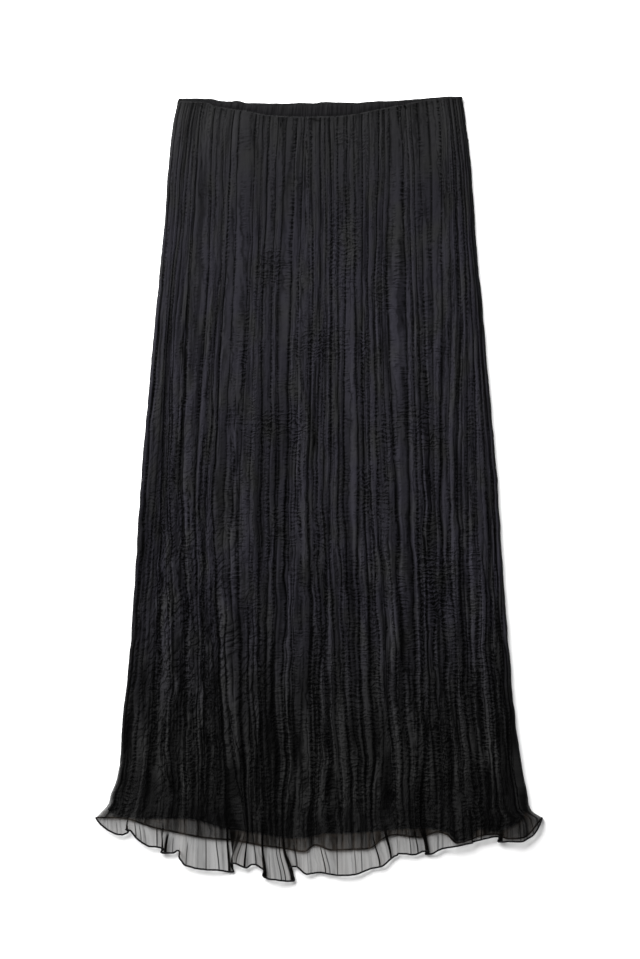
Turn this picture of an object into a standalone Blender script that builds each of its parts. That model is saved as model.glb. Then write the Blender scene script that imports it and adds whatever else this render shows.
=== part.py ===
"""Crinkle maxi skirt, laid flat with its front panel up.

World frame: metres, +Z up. The skirt lies on z = 0 with its waist toward +Y and its hem
toward -Y. The origin is the middle of its bounding box, on the surface that it lies on.

A point on a panel is placed by how far it lies down from the top of the side seams, and
how far it lies across, from 0 at the left side seam to 1 at the right one. From the
surface up, the layers are the back outer panel, the back lining, the front lining and
the front outer panel, which is longer and comes down to the surface at its hem.
"""

import bpy
import numpy as np

MM = 0.001

# Driving dimensions, in metres.
TOP_OF_SIDES_Y = 0.4808        # y where the side seams start
HALF_HEM_WIDTH = 0.2738        # from the middle to each corner of the hem
CREASES_START = 0.027          # down: where the crease table starts
CREASES_END = 0.898            # down: where it ends
GAP = 0.0003                   # between layers
EDGE_GAP = 0.0005              # between a panel and its waist edge
FRONT_WALL = 0.0013
FRONT_PLEAT_RISE = 0.0028      # of a pleat's ridge above its deepest valley
FRONT_PLEAT_PITCH = 0.0095     # a wider pleat is divided into folds of about this width
BACK_WALL = 0.0012
BACK_PLEAT_RISE = 0.0008
BACK_PLEAT_PITCH = 0.0140
LEAST_COLUMN_GAP = 0.0010      # between two columns of points
SMALL_FOLD_DEPTH = 0.55        # of the folds that divide a pleat, beside its own valleys
RIDGE_HEIGHT = 0.92            # of an even ridge, beside the full rise
RIDGE_UNEVENNESS = 0.08        # part of that by which ridges differ along the skirt
LINING_WALL = 0.0010
LINING_INSET = 0.0070          # from the side seam to the lining's own edge
LINING_COLUMNS = 41
GATHERS = 23                   # across the back lining, inside the waist
GATHER_RISE = 0.0014
GATHER_START = (0.0, 0.0030)   # past the back waist edge over which the gathers rise
GATHER_END = (0.0010, 0.0040)  # above the front waist edge over which they fall
EDGE_STATIONS = 70             # along a waist edge
EDGE_PUCKER = 0.12             # part of a waist edge's height that its gathers take
FRONT_EDGE_WIDTH = 0.0040      # of the turned edge at the front waist, seen from above
FRONT_EDGE_HEIGHT = 0.0040
BACK_EDGE_WIDTH = 0.0035
HEM_WAVE_REACH = 0.060         # how far up from the hem its waves are felt
SIDE_STEPS = (0.0, 0.0030, 0.0055)   # columns over which the front comes down at its sides
LAYER_MARGIN = 0.002           # past a hem under it before the front starts to come down
LAYER_FALL = 0.008             # over which it comes down

# Heights at which the layers start.
BACK_LINING_Z = BACK_WALL + BACK_PLEAT_RISE + GAP
FRONT_LINING_Z = BACK_LINING_Z + LINING_WALL + GAP
FRONT_OUTER_Z = FRONT_LINING_Z + LINING_WALL + GAP

# Side seams in mm: how far down, x at the left, x at the right.
SIDES = (
    (0.0, -170.9, 175.8),
    (24.5, -177.0, 179.5),
    (73.5, -183.1, 185.6),
    (171.5, -190.5, 192.9),
    (269.5, -200.3, 201.5),
    (367.5, -208.9, 210.1),
    (465.5, -217.4, 218.7),
    (563.5, -223.6, 224.8),
    (661.5, -229.7, 232.1),
    (759.5, -239.5, 240.7),
    (808.5, -243.2, 247.5),
    (823.5, -244.7, 249.8),
    (840.5, -248.6, 253.7),
    (855.0, -254.7, 256.5),
    (869.0, -258.8, 258.2),
    (877.0, -266.2, 262.0),
    (884.5, -273.8, 273.8),
)

# Front waist in mm: x, how far down the edge is.
FRONT_WAIST = (
    (-171.5, 6.1),
    (-139.0, 6.7),
    (-124.3, 11.0),
    (-102.3, 15.4),
    (-85.1, 17.4),
    (-64.0, 22.0),
    (-36.0, 24.3),
    (3.1, 24.5),
    (41.0, 22.1),
    (70.4, 16.2),
    (97.4, 11.0),
    (119.0, 6.6),
    (157.4, 1.4),
    (176.0, 0.8),
)

# Back waist in mm: x, how far down the edge is.
BACK_WAIST = (
    (-171.0, 2.1),
    (-144.6, 2.2),
    (-129.9, 3.0),
    (-117.6, 5.3),
    (-105.4, 5.8),
    (-100.5, 4.9),
    (-85.1, 7.8),
    (-61.3, 8.3),
    (-36.8, 8.5),
    (-22.1, 7.6),
    (-3.0, 7.8),
    (5.0, 6.6),
    (46.6, 7.6),
    (58.0, 6.5),
    (90.7, 5.3),
    (120.0, 3.2),
    (149.5, 0.5),
    (160.0, 0.0),
    (175.8, 0.0),
)

# Front outer hem in mm: x, how far down, how high its wave lifts it.
FRONT_HEM = (
    (-273.8, 884.5, 0.0),
    (-264.0, 894.6, 3.0),
    (-254.7, 900.9, 6.0),
    (-240.0, 904.9, 7.0),
    (-232.8, 898.4, 0.0),
    (-222.3, 909.7, 5.0),
    (-209.0, 918.3, 7.0),
    (-195.4, 920.8, 1.0),
    (-187.2, 927.3, 5.0),
    (-177.1, 927.0, 5.0),
    (-173.3, 924.6, 0.5),
    (-166.0, 939.6, 4.0),
    (-157.2, 944.0, 6.5),
    (-141.0, 947.3, 8.0),
    (-122.0, 948.4, 6.0),
    (-107.8, 951.0, 0.0),
    (-104.0, 939.5, 2.0),
    (-88.2, 945.3, 7.0),
    (-82.0, 941.5, 4.0),
    (-70.7, 945.9, 0.5),
    (-63.1, 958.6, 5.0),
    (-50.8, 959.9, 8.0),
    (-36.1, 961.9, 0.0),
    (-28.2, 944.0, 4.0),
    (-14.5, 953.1, 7.0),
    (1.8, 951.6, 2.0),
    (23.0, 954.6, 5.5),
    (41.9, 954.0, 7.5),
    (64.3, 946.6, 2.5),
    (79.0, 942.8, 6.5),
    (90.8, 932.9, 4.0),
    (100.7, 928.0, 0.5),
    (117.5, 929.4, 7.0),
    (128.7, 925.2, 4.0),
    (136.6, 929.0, 0.0),
    (147.0, 923.8, 5.0),
    (169.7, 918.1, 7.0),
    (188.0, 913.9, 1.0),
    (203.0, 909.6, 6.0),
    (218.7, 906.9, 1.0),
    (223.0, 913.6, 0.0),
    (233.0, 912.8, 5.5),
    (247.0, 912.8, 8.0),
    (257.0, 908.9, 6.0),
    (265.5, 901.8, 3.0),
    (273.8, 884.5, 0.0),
)
HEM_LIFT = 2                   # the column of the lift

# Hems under it in mm: x, how far down the back outer panel, back lining and front
# lining reach.
INNER_HEMS = (
    (-273.8, 884.5, 872.0, 870.0),
    (-251.0, 884.3, 880.5, 879.0),
    (-232.0, 886.5, 883.0, 882.0),
    (-205.0, 895.5, 884.5, 883.0),
    (-175.0, 902.1, 884.5, 883.0),
    (-149.0, 907.5, 886.5, 885.3),
    (-129.0, 910.0, 893.0, 892.0),
    (-106.0, 911.9, 898.5, 897.2),
    (-68.0, 918.6, 902.8, 901.5),
    (-41.0, 922.0, 907.5, 906.5),
    (-18.0, 926.0, 908.0, 907.0),
    (-4.0, 917.8, 906.0, 904.0),
    (16.0, 924.0, 902.0, 900.9),
    (42.0, 923.3, 902.0, 900.9),
    (64.0, 921.5, 900.5, 899.6),
    (76.0, 912.0, 899.5, 898.4),
    (92.0, 905.5, 898.0, 897.0),
    (124.0, 908.3, 896.0, 895.0),
    (147.0, 901.8, 898.0, 896.5),
    (157.0, 904.8, 900.5, 898.0),
    (170.0, 915.5, 912.5, 898.0),
    (186.0, 911.5, 908.5, 895.0),
    (196.0, 907.5, 897.0, 893.5),
    (219.0, 904.6, 900.0, 898.0),
    (232.0, 910.4, 896.0, 894.5),
    (252.0, 908.6, 884.5, 883.0),
    (273.8, 884.5, 872.0, 870.0),
)
BACK_HEM = 1
BACK_LINING_HEM = 2
FRONT_LINING_HEM = 3

# Main crease valleys of the front: how far across in percent at five places from the
# top to the bottom, then how deep at the top, halfway and at the bottom, 1 being full.
CREASES = (
    (3.0, 3.4, 4.4, 3.6, 6.0, 0.5, 0.4, 0.5),
    (5.0, 4.4, 5.9, 7.8, 11.0, 0.4, 0.5, 0.8),
    (6.8, 6.4, 8.2, 11.3, 16.4, 0.5, 0.6, 0.9),
    (9.3, 10.0, 11.8, 15.3, 20.0, 0.6, 0.7, 0.7),
    (13.7, 15.5, 15.4, 18.2, 23.0, 0.9, 0.9, 0.6),
    (20.5, 20.5, 20.5, 23.6, 30.0, 0.8, 0.9, 1.0),
    (22.6, 23.4, 23.6, 25.4, 31.7, 0.6, 0.6, 0.5),
    (28.3, 28.6, 27.5, 29.2, 34.2, 0.9, 0.8, 1.0),
    (30.7, 30.6, 30.7, 31.2, 36.0, 0.5, 0.5, 0.6),
    (33.0, 32.8, 34.0, 34.2, 38.6, 1.0, 1.0, 1.0),
    (35.9, 35.4, 36.2, 35.9, 40.2, 0.6, 0.8, 0.5),
    (38.9, 37.4, 38.7, 38.1, 42.0, 0.8, 0.6, 1.0),
    (42.2, 41.2, 41.1, 40.6, 43.5, 0.8, 1.0, 0.6),
    (45.0, 43.7, 43.6, 43.2, 45.3, 0.7, 0.5, 0.5),
    (47.2, 47.8, 46.9, 48.0, 48.4, 0.9, 1.0, 1.0),
    (50.1, 50.3, 49.4, 50.1, 50.5, 0.6, 0.7, 0.5),
    (51.7, 51.9, 51.4, 52.1, 53.2, 0.5, 0.7, 0.9),
    (53.3, 53.8, 53.0, 54.0, 55.3, 0.8, 0.7, 0.6),
    (55.9, 55.9, 55.4, 56.3, 57.9, 0.7, 0.8, 0.9),
    (59.4, 58.3, 57.1, 58.2, 59.6, 0.7, 0.8, 0.5),
    (61.5, 61.2, 60.8, 60.5, 61.4, 0.8, 0.8, 0.6),
    (64.6, 63.3, 62.7, 63.4, 63.3, 0.8, 0.9, 1.0),
    (66.8, 65.2, 64.6, 65.7, 65.8, 0.6, 0.6, 0.5),
    (70.6, 67.1, 66.6, 67.6, 67.6, 1.0, 0.6, 0.6),
    (72.2, 69.3, 69.1, 69.9, 69.7, 0.5, 0.7, 0.7),
    (73.8, 71.1, 71.3, 71.8, 71.4, 0.8, 1.0, 1.0),
    (77.8, 76.7, 75.4, 75.2, 73.2, 0.9, 0.9, 0.7),
    (79.6, 78.6, 77.6, 77.1, 74.7, 0.5, 0.7, 1.0),
    (81.4, 80.4, 79.2, 78.8, 76.3, 0.7, 0.8, 0.5),
    (83.6, 82.3, 80.9, 80.4, 77.9, 0.5, 0.7, 0.5),
    (87.2, 84.8, 82.5, 81.7, 79.3, 0.6, 0.5, 0.5),
    (91.0, 87.9, 84.1, 83.0, 80.8, 0.7, 1.0, 0.6),
    (93.4, 90.6, 86.4, 85.6, 83.0, 0.5, 0.6, 0.4),
    (95.4, 93.6, 89.0, 88.2, 85.6, 0.8, 1.0, 1.0),
    (96.6, 95.4, 91.7, 90.0, 87.1, 0.8, 1.0, 0.9),
    (97.6, 96.9, 94.4, 92.7, 89.0, 0.6, 0.7, 0.7),
    (98.4, 98.1, 96.8, 95.6, 92.2, 0.6, 0.7, 0.8),
)
CREASE_STATIONS = (0.0, 0.25, 0.5, 0.75, 1.0)
DEPTH_STATIONS = (0.0, 0.5, 1.0)
PERCENT = 0.01

# Rows of points, in metres: steps from a panel's top edge, the number of rows between,
# and steps from its hem.
FRONT_ROWS = ((0.0, 0.014, 0.045), 7, (0.090, 0.066, 0.050, 0.037, 0.026, 0.016, 0.007, 0.0))
BACK_ROWS = ((0.0, 0.020), 5, (0.085, 0.055, 0.032, 0.014, 0.0))
LINING_ROWS = ((0.0, 0.030), 5, (0.065, 0.038, 0.016, 0.0))
GATHERED_ROWS = ((0.0, 0.0025, 0.005, 0.008, 0.011, 0.014, 0.030), 4, (0.065, 0.038, 0.016, 0.0))

CLOTH_COLOR = (0.026, 0.025, 0.030, 1.0)
LINING_COLOR = (0.018, 0.017, 0.020, 1.0)
EDGE_COLOR = (0.032, 0.031, 0.036, 1.0)
CLOTH_ROUGHNESS = 0.75
LINING_ROUGHNESS = 0.60
SHARP_ANGLE = np.radians(50)   # between two faces that aren't shaded as one


def read_curve(table, column, at):
    """Read a smooth curve through a column of a table, at values of its first column.

    The curve turns only at the table's own points, so it doesn't overshoot them.
    """
    rows = np.array(table)
    knots = rows[:, 0]
    values = rows[:, column]
    steps = np.diff(values) / np.diff(knots)
    slopes = np.gradient(values, knots)
    steepest = 3 * np.minimum(np.abs(steps[:-1]), np.abs(steps[1:]))
    turns = steps[:-1] * steps[1:] <= 0
    slopes[1:-1] = np.where(turns, 0.0, np.clip(slopes[1:-1], -steepest, steepest))
    at = np.clip(at, knots[0], knots[-1])
    after = np.clip(np.searchsorted(knots, at, side="right"), 1, len(knots) - 1)
    before = after - 1
    span = knots[after] - knots[before]
    t = (at - knots[before]) / span
    first = values[before] * (1 + 2 * t) + span * slopes[before] * t
    last = values[after] * (3 - 2 * t) - span * slopes[after] * (1 - t)
    return first * (1 - t) ** 2 + last * t ** 2


def ease(value, start, end):
    """Rise smoothly from 0 to 1 as a value goes from start to end."""
    t = np.clip((value - start) / (end - start), 0.0, 1.0)
    return t * t * (3 - 2 * t)


def left_x(down):
    """Give x of the left side seam."""
    return read_curve(SIDES, 1, down / MM) * MM


def width_at(down):
    """Give the width between the side seams."""
    return read_curve(SIDES, 2, down / MM) * MM - left_x(down)


def waist_down(table, across):
    """Give how far down a waist edge is."""
    x = left_x(0.0) + across * width_at(0.0)
    return read_curve(table, 1, x / MM) * MM


def hem_value(table, column, across):
    """Give how far down a hem is, or how high its wave is."""
    x = (2 * across - 1) * HALF_HEM_WIDTH
    return read_curve(table, column, x / MM) * MM


def crease_progress(down):
    """Give the part of the way down the creases, from 0 to 1."""
    return np.clip((down - CREASES_START) / (CREASES_END - CREASES_START), 0.0, 1.0)


def valley_across(crease, progress):
    """Give how far across a crease's valley is."""
    places = list(zip(CREASE_STATIONS, CREASES[crease]))
    return read_curve(places, 1, progress) * PERCENT


def valley_depth(crease, progress):
    """Give how deep a crease's valley is, from 0 to 1."""
    return np.interp(progress, DEPTH_STATIONS, CREASES[crease][len(CREASE_STATIONS):])


def pleat_columns(pitch):
    """List the valleys and ridges from the first crease to the last.

    Each is the crease at its left, its share of the way to the next crease, and its
    depth beside the creases' own, which is 0 on a ridge.
    """
    columns = []
    for crease in range(len(CREASES) - 1):
        gap_half_way = valley_across(crease + 1, 0.5) - valley_across(crease, 0.5)
        gap_at_hem = valley_across(crease + 1, 1.0) - valley_across(crease, 1.0)
        span = (gap_half_way + gap_at_hem) * HALF_HEM_WIDTH
        folds = max(1, round(span / pitch))
        for fold in range(folds):
            depth = SMALL_FOLD_DEPTH if fold else 1.0
            columns.append((crease, fold / folds, depth))
            columns.append((crease, (fold + 0.5) / folds, 0.0))
    columns.append((len(CREASES) - 2, 1.0, 1.0))
    return columns


def keep_apart(across, least, margin):
    """Move columns until they lie a least distance apart, inside a margin."""
    count = across.shape[1]
    across = across.copy()
    across[:, 0] = np.maximum(across[:, 0], margin + least)
    for j in range(1, count):
        across[:, j] = np.maximum(across[:, j], across[:, j - 1] + least)
    across[:, -1] = np.minimum(across[:, -1], 1 - margin - least)
    for j in range(count - 2, -1, -1):
        across[:, j] = np.minimum(across[:, j], across[:, j + 1] - least)
    return across


def pleat_grid(columns, down, side_steps):
    """Give across and rise for the points of a pleated panel, in rows by columns.

    The rise is 0 in a full valley and 1 on a ridge, and 0 at the sides.
    """
    sides = len(side_steps)
    across = np.zeros_like(down)
    rise = np.zeros_like(down)
    width = width_at(down)
    progress = crease_progress(down)
    for number, (crease, share, depth) in enumerate(columns):
        j = sides + number
        left = valley_across(crease, progress[:, j])
        right = valley_across(crease + 1, progress[:, j])
        left_depth = valley_depth(crease, progress[:, j])
        right_depth = valley_depth(crease + 1, progress[:, j])
        full = left_depth * (1 - share) + right_depth * share
        across[:, j] = left * (1 - share) + right * share
        uneven = 1 + RIDGE_UNEVENNESS * np.sin(2.1 * number + 9.0 * progress[:, j])
        rise[:, j] = RIDGE_HEIGHT * (1 - depth * full) * uneven
    inner = slice(sides, -sides)
    least = LEAST_COLUMN_GAP / width.min(axis=1)
    margin = side_steps[-1] / width.min(axis=1)
    across[:, inner] = keep_apart(across[:, inner], least, margin)
    for number, step in enumerate(side_steps):
        across[:, number] = step / width[:, number]
        across[:, -1 - number] = 1 - step / width[:, -1 - number]
    return across, rise


def row_downs(start, end, plan):
    """Give how far down each row's points are, in rows by columns."""
    first_steps, between, last_steps = plan
    first = start + np.array(first_steps)[:, None]
    last = end - np.array(last_steps)[:, None]
    share = np.linspace(0.0, 1.0, between + 2)[1:-1, None]
    middle = first[-1] * (1 - share) + last[0] * share
    return np.vstack([first, middle, last])


def pleated_rows(columns, side_steps, edge, hem, plan):
    """Lay out a pleated panel's rows between its waist and its hem, for each column."""
    count = len(columns) + 2 * len(side_steps)
    top = np.full((1, count), CREASES_START)
    bottom = np.full((1, count), CREASES_END)
    top_across = pleat_grid(columns, top, side_steps)[0][0]
    bottom_across = pleat_grid(columns, bottom, side_steps)[0][0]
    return row_downs(edge(top_across), hem(bottom_across), plan), bottom_across


def to_points(across, down, height):
    """Turn across, down and height into points."""
    x = left_x(down) + across * width_at(down)
    return np.stack([x, TOP_OF_SIDES_Y - down, height], axis=-1)


def cloth_material(name, color, roughness):
    """Make a plain cloth material."""
    material = bpy.data.materials.new(name)
    material.use_nodes = True
    shader = material.node_tree.nodes["Principled BSDF"]
    shader.inputs["Base Color"].default_value = color
    shader.inputs["Roughness"].default_value = roughness
    shader.inputs["Metallic"].default_value = 0.0
    material.diffuse_color = color
    return material


def add_object(name, points, faces, color, roughness):
    """Add one closed mesh as an object of its own."""
    mesh = bpy.data.meshes.new(name)
    mesh.from_pydata(points, [], faces)
    mesh.materials.append(cloth_material(name, color, roughness))
    mesh.shade_smooth()
    mesh.set_sharp_from_angle(angle=SHARP_ANGLE)
    piece = bpy.data.objects.new(name, mesh)
    bpy.context.scene.collection.objects.link(piece)
    return piece


def wall(name, top, under, color, roughness):
    """Close a wall between a grid of points and its underside.

    Grids are rows by columns by xyz, from the waist to the hem and from left to right.
    The underside is such a grid, or the height of one flat face.
    """
    rows, columns = top.shape[:2]
    index = np.arange(rows * columns).reshape(rows, columns)
    corners = (index[:-1, :-1], index[1:, :-1], index[1:, 1:], index[:-1, 1:])
    upper = np.stack(corners, axis=-1).reshape(-1, 4)
    border = np.concatenate([index[:-1, 0], index[-1, :-1], index[:0:-1, -1], index[0, :0:-1]])
    points = top.reshape(-1, 3)
    faces = [tuple(face) for face in upper.tolist()]
    if np.ndim(under):
        lower_border = border + len(points)
        faces += [tuple(reversed(face)) for face in (upper + len(points)).tolist()]
        points = np.vstack([points, under.reshape(-1, 3)])
    else:
        lower_border = np.arange(len(border)) + len(points)
        faces.append(tuple(reversed(lower_border.tolist())))
        rim = points[border].copy()
        rim[:, 2] = under
        points = np.vstack([points, rim])
    upper_next = np.roll(border, -1)
    lower_next = np.roll(lower_border, -1)
    band = np.stack([upper_next, border, lower_border, lower_next], axis=-1)
    faces += [tuple(face) for face in band.tolist()]
    return add_object(name, points.tolist(), faces, color, roughness)


def front_ground(across, down, hem_across):
    """Give the height that the front outer panel's valleys lie at."""
    lining = hem_value(INNER_HEMS, FRONT_LINING_HEM, hem_across) + LAYER_MARGIN
    lining = np.maximum(lining, hem_value(INNER_HEMS, BACK_LINING_HEM, hem_across) + LAYER_MARGIN)
    back = hem_value(INNER_HEMS, BACK_HEM, hem_across) + LAYER_MARGIN
    above = np.vstack([down[:1], down[:-1]])
    over_lining = FRONT_OUTER_Z * (1 - ease(above, lining, lining + LAYER_FALL))
    over_back = BACK_LINING_Z * (1 - ease(above, back, back + LAYER_FALL))
    ground = np.maximum(over_lining, over_back)
    padded = np.pad(ground, ((0, 0), (1, 1)), mode="edge")
    ground = np.maximum(np.maximum(padded[:, :-2], padded[:, 1:-1]), padded[:, 2:])
    from_side = np.minimum(across, 1 - across) * width_at(down)
    side_rise = ease(from_side, SIDE_STEPS[0], SIDE_STEPS[-1])
    at_side = BACK_LINING_Z + (FRONT_OUTER_Z - BACK_LINING_Z) * side_rise
    return np.minimum(ground, at_side)


def build_outer_front():
    """The front outer panel: pleated, over everything else, with a waved hem."""
    columns = pleat_columns(FRONT_PLEAT_PITCH)

    def edge(across):
        return waist_down(FRONT_WAIST, across) + FRONT_EDGE_WIDTH + EDGE_GAP

    def hem(across):
        return hem_value(FRONT_HEM, 1, across)

    down, hem_across = pleated_rows(columns, SIDE_STEPS, edge, hem, FRONT_ROWS)
    across, rise = pleat_grid(columns, down, SIDE_STEPS)
    lift = hem_value(FRONT_HEM, HEM_LIFT, hem_across)
    lift = lift * ease(down, hem(hem_across) - HEM_WAVE_REACH, hem(hem_across))
    low = front_ground(across, down, hem_across) + rise * FRONT_PLEAT_RISE + lift
    top = to_points(across, down, low + FRONT_WALL)
    under = to_points(across, down, low)
    wall("outer_front", top, under, CLOTH_COLOR, CLOTH_ROUGHNESS)


def build_outer_back():
    """The back outer panel: pleated above, and flat where it lies on the surface."""
    columns = pleat_columns(BACK_PLEAT_PITCH)
    side_steps = SIDE_STEPS[:1]

    def edge(across):
        return waist_down(BACK_WAIST, across) + BACK_EDGE_WIDTH + EDGE_GAP

    def hem(across):
        return hem_value(INNER_HEMS, BACK_HEM, across)

    down = pleated_rows(columns, side_steps, edge, hem, BACK_ROWS)[0]
    across, rise = pleat_grid(columns, down, side_steps)
    top = to_points(across, down, BACK_WALL + rise * BACK_PLEAT_RISE)
    wall("outer_back", top, 0.0, CLOTH_COLOR, CLOTH_ROUGHNESS)


def build_lining(name, height, waist, edge_width, hem_column, columns, plan, rise):
    """A flat lining panel that starts at a height, raised by a function of its place."""
    share = np.linspace(0.0, 1.0, columns)
    waist_inset = LINING_INSET / width_at(0.0)
    waist_across = waist_inset + share * (1 - 2 * waist_inset)
    start = waist_down(waist, waist_across) + edge_width + EDGE_GAP
    end = hem_value(INNER_HEMS, hem_column, share)
    down = row_downs(start, end, plan)
    inset = LINING_INSET / width_at(down)
    across = inset + share * (1 - 2 * inset)
    top = to_points(across, down, height + LINING_WALL + rise(across, down))
    wall(name, top, height, LINING_COLOR, LINING_ROUGHNESS)


def waist_gathers(across, down):
    """Give how far the back lining's gathers stand up in the waist opening."""
    from_back = down - waist_down(BACK_WAIST, across) - BACK_EDGE_WIDTH
    from_front = waist_down(FRONT_WAIST, across) - down
    open_here = ease(from_back, *GATHER_START) * ease(from_front, *GATHER_END)
    wave = 0.5 - 0.5 * np.cos(2 * np.pi * GATHERS * across)
    return GATHER_RISE * wave * open_here


def no_gathers(across, down):
    """Leave a lining flat."""
    return np.zeros_like(across * down)


def build_linings():
    """The back lining, gathered inside the waist, and the plain front lining."""
    build_lining("lining_back", BACK_LINING_Z, BACK_WAIST, BACK_EDGE_WIDTH, BACK_LINING_HEM,
                 2 * GATHERS + 1, GATHERED_ROWS, waist_gathers)
    build_lining("lining_front", FRONT_LINING_Z, FRONT_WAIST, FRONT_EDGE_WIDTH, FRONT_LINING_HEM,
                 LINING_COLUMNS, LINING_ROWS, no_gathers)


def build_waist_edge(name, waist, width, height, base):
    """A turned edge along the waist: a flat-bottomed bead, puckered by its elastic."""
    across = np.linspace(0.0, 1.0, EDGE_STATIONS)
    pucker = 1 - EDGE_PUCKER * (0.5 - 0.5 * np.cos(np.pi * np.arange(EDGE_STATIONS)))
    # Eight corners, as shares of the width down the skirt and of the height.
    section = ((0.3, 1.0), (0.7, 1.0), (1.0, 0.7), (1.0, 0.3),
               (0.7, 0.0), (0.3, 0.0), (0.0, 0.3), (0.0, 0.7))
    start = waist_down(waist, across)
    rings = []
    for along, up in section:
        down = start + along * width
        rings.append(to_points(across, down, base + up * height * pucker))
    points = np.stack(rings, axis=1)
    sides = len(section)
    faces = [tuple(range(sides - 1, -1, -1))]
    for station in range(EDGE_STATIONS - 1):
        for side in range(sides):
            here = station * sides + side
            beside = station * sides + (side + 1) % sides
            faces.append((here, beside, beside + sides, here + sides))
    last = (EDGE_STATIONS - 1) * sides
    faces.append(tuple(range(last, last + sides)))
    add_object(name, points.reshape(-1, 3).tolist(), faces, EDGE_COLOR, CLOTH_ROUGHNESS)


def main():
    for old in list(bpy.data.objects):
        bpy.data.objects.remove(old, do_unlink=True)
    build_outer_back()
    build_linings()
    build_outer_front()
    build_waist_edge("waist_edge_back", BACK_WAIST, BACK_EDGE_WIDTH, FRONT_LINING_Z - GAP, 0.0)
    build_waist_edge("waist_edge_front", FRONT_WAIST, FRONT_EDGE_WIDTH, FRONT_EDGE_HEIGHT,
                     FRONT_LINING_Z)


main()
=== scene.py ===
"""Looks of the crinkle maxi skirt, laid flat with its front panel up.

The panels lie where the CAD has them. A point on one is placed by how far down it is from
the top of the side seams and how far across, from 0 at the left side seam to 1 at the right,
as in part.py, whose outlines are repeated here. Lengths are in metres, but in millimetres
in the tables and in the shaders' own coordinates.
"""

import bpy
import numpy as np
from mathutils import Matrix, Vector


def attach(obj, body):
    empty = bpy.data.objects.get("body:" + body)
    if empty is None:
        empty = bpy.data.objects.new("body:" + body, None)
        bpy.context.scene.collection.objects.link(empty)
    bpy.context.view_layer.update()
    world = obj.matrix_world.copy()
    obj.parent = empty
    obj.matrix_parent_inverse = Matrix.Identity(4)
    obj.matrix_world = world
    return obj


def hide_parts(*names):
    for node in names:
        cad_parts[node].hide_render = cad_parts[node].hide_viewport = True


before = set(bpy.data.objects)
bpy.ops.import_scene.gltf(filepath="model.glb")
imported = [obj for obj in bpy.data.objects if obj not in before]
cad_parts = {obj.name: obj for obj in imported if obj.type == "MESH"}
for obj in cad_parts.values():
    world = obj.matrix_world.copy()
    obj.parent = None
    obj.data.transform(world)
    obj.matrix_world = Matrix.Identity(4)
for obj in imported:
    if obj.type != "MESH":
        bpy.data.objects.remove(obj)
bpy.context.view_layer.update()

MM = 0.001
PERCENT = 0.01
TURN = 2 * np.pi
SEED = 11

# Driving dimensions, the same as in part.py.
TOP_OF_SIDES_Y = 0.4808
HALF_HEM_WIDTH = 0.2738
CREASES_START = 0.027
CREASES_END = 0.898
FRONT_EDGE_WIDTH = 0.004
FRONT_EDGE_HEIGHT = 0.004
BACK_EDGE_WIDTH = 0.0035
BACK_LINING_Z = 0.0023
FRONT_LINING_Z = 0.0036
FRONT_OUTER_Z = 0.0049

# The shells' own.
BACK_EDGE_HEIGHT = 0.0033
LINING_INSET = 0.0035
SIDE_ROUNDING = 0.003
SIDE_SEAM_Z = 0.0012

# The photograph.
PHOTO_HEIGHT_PX = 959
METRES_PER_PX = 0.001225
VIEW_CENTRE = (0.0018, 0.011)  # x and y that the camera stands over
LENS_MM = 85.0
SENSOR_MM = 36.0

# Floor and light.
FLOOR_HALF_SIZE = 3.0
FLOOR_Z = -0.0002
FLOOR_COLOR = (0.86, 0.86, 0.86, 1.0)
LAMP_PLACE = (-1.1, 1.5, 0.95)
LAMP_TARGET = (0.0, 0.1, 0.0)
LAMP_SIZE = 2.2
LAMP_POWER = 262.0
SKY_STRENGTH = 0.32

# Cloth: colours, and how opaque a single layer is where it lies spread out.
CRINKLE_COLOR = (0.0213, 0.0213, 0.0213, 1.0)
VIOLET_COLOR = (0.020235, 0.019383, 0.025134, 1.0)
HEM_COLOR = (0.038, 0.031, 0.025, 1.0)
FRONT_ALPHA = 0.46
BACK_ALPHA = 0.62
EDGE_ALPHA = 0.97
DENSE_ALPHA = 0.93

# Each sheet's mesh: its columns, the rows in its first, middle and last stretch, and how
# long the first and last ones are.
FRONT_GRID = (383, (12, 118, 40, 0.024, 0.11))
BACK_GRID = (330, (6, 96, 26, 0.02, 0.07))
LINING_GRID = (260, (10, 60, 20, 0.02, 0.06))
EDGE_STATIONS = 520
EDGE_SIDES = 12
THREAD_SIDES = 6
THREAD_STEP = 0.0007

# How high the front's cloth stands over its valleys, in mm.
PLEAT_HEIGHT = 2.75
HEIGHT_AT_WAIST = 3.1
LOW_HEIGHT = 0.35
HIGHEST = 4.4
FOLD_HEIGHT = 2.6

# How far past a hem under it the front starts to fall, and over what length.
FALL_MARGIN = 0.002
FALL_LENGTH = 0.018

# Side seams in mm: how far down, x at the left, x at the right.
SIDES = (
    (0, -170.9, 175.8), (24.5, -177, 179.5), (73.5, -183.1, 185.6), (171.5, -190.5, 192.9),
    (269.5, -200.3, 201.5), (367.5, -208.9, 210.1), (465.5, -217.4, 218.7), (563.5, -223.6, 224.8),
    (661.5, -229.7, 232.1), (759.5, -239.5, 240.7), (808.5, -243.2, 247.5), (823.5, -244.7, 249.8),
    (840.5, -248.6, 253.7), (855, -254.7, 256.5), (869, -258.8, 258.2), (877, -266.2, 262),
    (884.5, -273.8, 273.8),
)
# The same without the flare near the hem, which only the cloth near the side seams has.
STRAIGHT_SIDES = SIDES[:11] + ((884.5, -250.8, 255.0),)
LEFT = 1
RIGHT = 2
FLARE_REACH = 0.03
HEM_CORNER = 0.8845

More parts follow.
